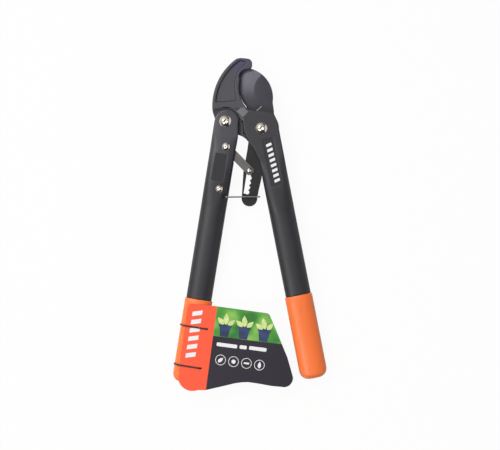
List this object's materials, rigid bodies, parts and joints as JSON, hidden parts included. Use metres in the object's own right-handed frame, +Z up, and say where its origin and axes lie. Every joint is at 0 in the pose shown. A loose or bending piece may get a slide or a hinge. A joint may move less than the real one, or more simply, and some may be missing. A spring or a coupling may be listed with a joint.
{
  "type": "pruning shears",
  "caption": "Two-handed ratchet shears with a hooked jaw, curved blade, slotted rack and link, oval handles with sleeve grips, wire storage bail and a hang card.",
  "frame": {"origin": "bottom centre of the closed, latched tool lying on its back", "axes": "+Y towards the hooked jaw, +Z up out of the front faces, +X to the right handle"},
  "size_m": [0.1938, 0.4188, 0.0288],
  "materials": {
    "moulding": "fine textured charcoal glass-filled nylon",
    "grip": "satin orange sleeve",
    "inlay": "smooth dark inlay",
    "coated_blade": "satin non-stick coating with a bare ground edge",
    "plated": "bright nickel plate",
    "zinc": "zinc plate",
    "bush": "sintered bush",
    "strap": "dull burnished strap steel",
    "spring": "spring steel wire",
    "wire": "drawn steel wire",
    "card": "printed and varnished card",
    "tie": "black elastic tie"
  },
  "bodies": {
    "jaw_side": {"jaw_handle": "moulding", "right_grip": "grip", "right_inlay": "inlay", "blade_bolt": "plated", "blade_nut": "zinc", "blade_washers": "zinc", "blade_bush": "bush", "hinge_bush": "bush"},
    "fork_side": {"fork_handle": "moulding", "left_grip": "grip", "left_inlay": "inlay", "handle_bolt": "plated", "handle_nut": "zinc", "hinge_washers": "zinc", "link_screw": "plated", "link_nut": "zinc", "link_washers": "zinc", "link_spacer": "bush", "anchor_screw": "plated", "anchor_nut": "zinc", "anchor_sleeve": "bush", "ratchet_spring": "spring", "hang_card": "card", "card_tie_upper": "tie", "card_tie_lower": "tie"},
    "blade": {"blade": "coated_blade"},
    "link": {"link_front": "strap", "link_back": "strap", "ratchet_pin": "plated", "pin_washer": "zinc"},
    "latch": {"latch_bail": "wire"}
  },
  "joints": [
    {"name": "handle_hinge", "type": "hinge", "parent": "jaw_side", "child": "fork_side", "pos_m": [-0.03044, 0.12939, 0.0125], "axis": [0, 0, 1], "range_deg": [-46, 0]},
    {"name": "blade_hinge", "type": "hinge", "parent": "jaw_side", "child": "blade", "pos_m": [0.01476, 0.12069, 0.0125], "axis": [0, 0, 1], "range_deg": [-25.1, 0]},
    {"name": "link_hinge", "type": "hinge", "parent": "fork_side", "child": "link", "pos_m": [-0.02965, 0.09759, 0.0125], "axis": [0, 0, 1], "range_deg": [0, 50.2], "deforming": ["ratchet_spring"]},
    {"name": "latch_hinge", "type": "hinge", "parent": "fork_side", "child": "latch", "pos_m": [-0.03075, 0.03439, 0.0125], "axis": [0, 0, 1], "range_deg": [-92.2, 0]}
  ],
  "couplings": [
    {"joint": "blade_hinge", "follows": "handle_hinge", "ratio": 0.544},
    {"joint": "link_hinge", "follows": "handle_hinge", "ratio": -1.089},
    {"joint": "latch_hinge", "follows": "handle_hinge", "ratio": 2}
  ]
}
